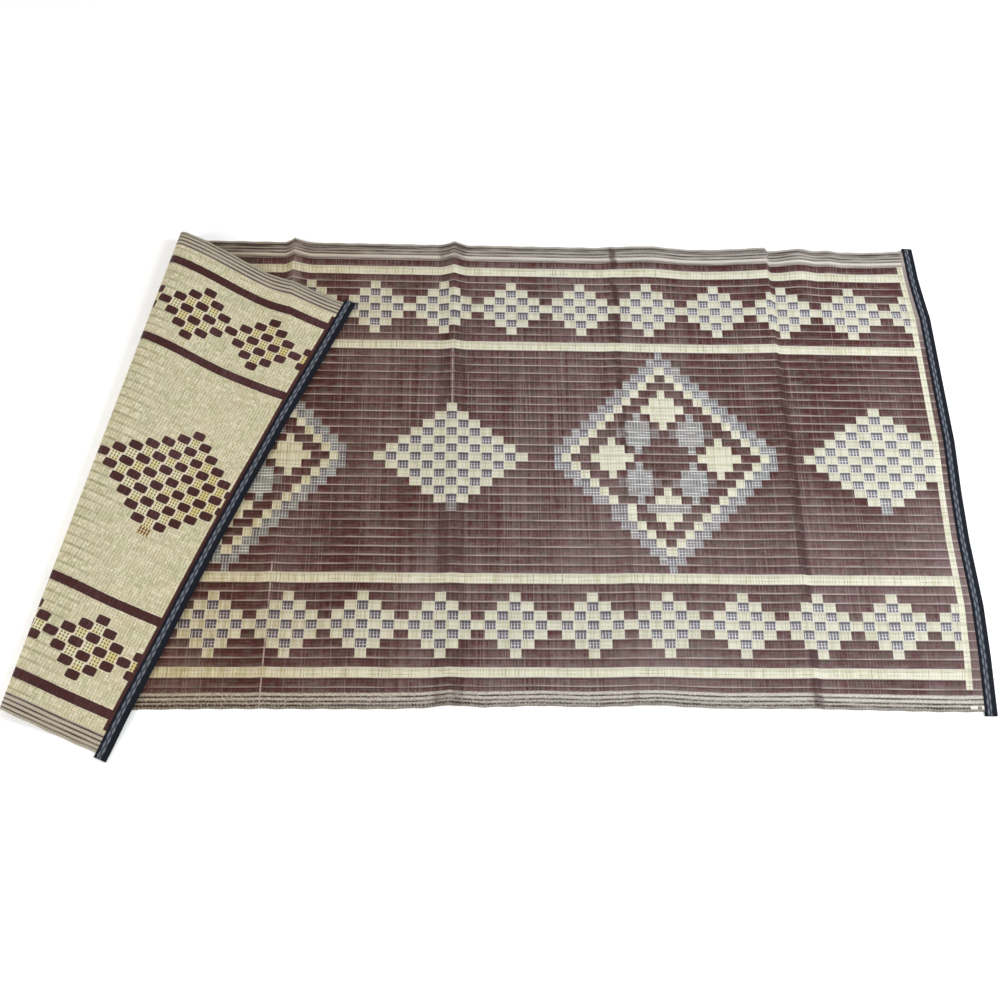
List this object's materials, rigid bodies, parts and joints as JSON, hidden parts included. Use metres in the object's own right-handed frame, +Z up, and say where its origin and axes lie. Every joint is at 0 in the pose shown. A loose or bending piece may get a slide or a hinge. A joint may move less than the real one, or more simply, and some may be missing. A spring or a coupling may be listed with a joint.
{
  "type": "woven plastic mat",
  "caption": "Rectangular woven plastic floor mat with stepped diamond borders and taped ends, lying flat with one end folded back.",
  "frame": {"origin": "middle of the folded mat's box, on the floor", "axes": "+X along the mat's length towards the end that lies flat, +Y across it towards the far long edge, +Z up"},
  "size_m": [1.6159, 0.9876, 0.0417],
  "materials": {
    "woven_plastic": "woven polypropylene straw, brown with cream and pale blue-grey pattern on the top and mostly beige underneath, slightly shiny",
    "binding_tape": "woven blue-black tape with a grey woven stripe, matt"
  },
  "bodies": {
    "root": {"mat_cloth": "woven_plastic", "binding_right_end": "binding_tape", "binding_left_end": "binding_tape"}
  },
  "joints": []
}
